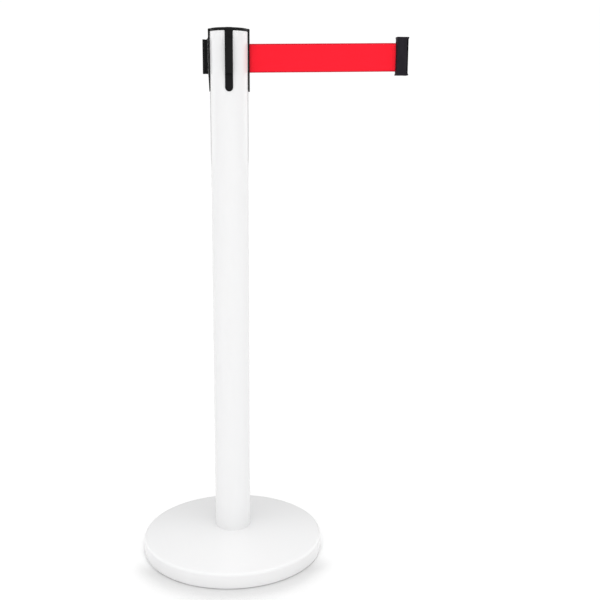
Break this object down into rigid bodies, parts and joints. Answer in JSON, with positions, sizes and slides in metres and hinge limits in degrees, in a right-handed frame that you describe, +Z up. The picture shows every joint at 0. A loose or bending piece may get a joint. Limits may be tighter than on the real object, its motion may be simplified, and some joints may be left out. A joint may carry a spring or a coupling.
{
  "type": "retractable belt stanchion",
  "caption": "Free-standing queue post: a weighted round base, a slotted steel post, and a head with a spring-wound belt whose clip hooks onto the T-rails of a like post.",
  "frame": {"origin": "on the floor at the centre of the round base", "axes": "+Z up along the post, +X the way the belt is drawn, -Y the receiver rail that faces the viewer"},
  "size_m": [0.4572, 0.32, 0.911],
  "materials": {
    "white_paint": "gloss white powder coat on steel",
    "black_abs": "fine-grained moulded black plastic",
    "red_webbing": "tightly woven red polyester webbing",
    "cast_iron": "rough cast, painted grey",
    "rubber": "moulded black rubber",
    "steel": "zinc-plated steel",
    "spring_steel": "blued spring steel strip",
    "nylon": "natural moulded nylon"
  },
  "bodies": {
    "root": {"floor_ring": "rubber", "base_weight": "cast_iron", "base_cover": "white_paint", "clamp_bolt": "steel", "lock_washer": "steel", "plain_washer": "steel", "foot_plate": "steel", "post_tube": "white_paint", "head_casing": "black_abs", "casing_floor": "black_abs", "floor_screw_1": "steel", "floor_screw_2": "steel", "floor_screw_3": "steel", "floor_screw_4": "steel", "head_cap": "black_abs", "cap_screw_1": "steel", "cap_screw_2": "steel", "receiver_rail_front": "black_abs", "receiver_rail_left": "black_abs", "receiver_rail_rear": "black_abs", "rail_screw_front_1": "steel", "rail_screw_front_2": "steel", "rail_screw_left_1": "steel", "rail_screw_left_2": "steel", "rail_screw_rear_1": "steel", "rail_screw_rear_2": "steel", "spool_axle": "steel", "spring_arbor": "steel", "thrust_washer": "nylon", "axle_circlip": "spring_steel", "belt_lead": "red_webbing"},
    "spool_unit": {"spool": "nylon", "spool_flange": "nylon", "lower_bush": "nylon", "upper_bush": "nylon", "spring_drum": "nylon", "mainspring": "spring_steel", "belt_roll": "red_webbing"},
    "belt_end": {"belt_strap": "red_webbing", "clip_body": "black_abs", "belt_anchor_pin": "steel", "belt_end_loop": "red_webbing"}
  },
  "joints": [
    {"name": "belt_pull", "type": "slide", "parent": "root", "child": "belt_end", "axis": [1, 0, 0], "range_m": [-0.242, 1.75], "stiffness_N_per_m": 1.6, "springref_m": -5, "deforming": ["belt_strap"]},
    {"name": "spool_spin", "type": "hinge", "parent": "root", "child": "spool_unit", "pos_m": [0, 0, 0.8646], "axis": [0, 0, 1], "range_deg": [-6500, 950], "deforming": ["mainspring", "belt_roll"]}
  ],
  "couplings": [
    {"joint": "spool_spin", "follows": "belt_pull", "rad_per_m": -64.4}
  ]
}
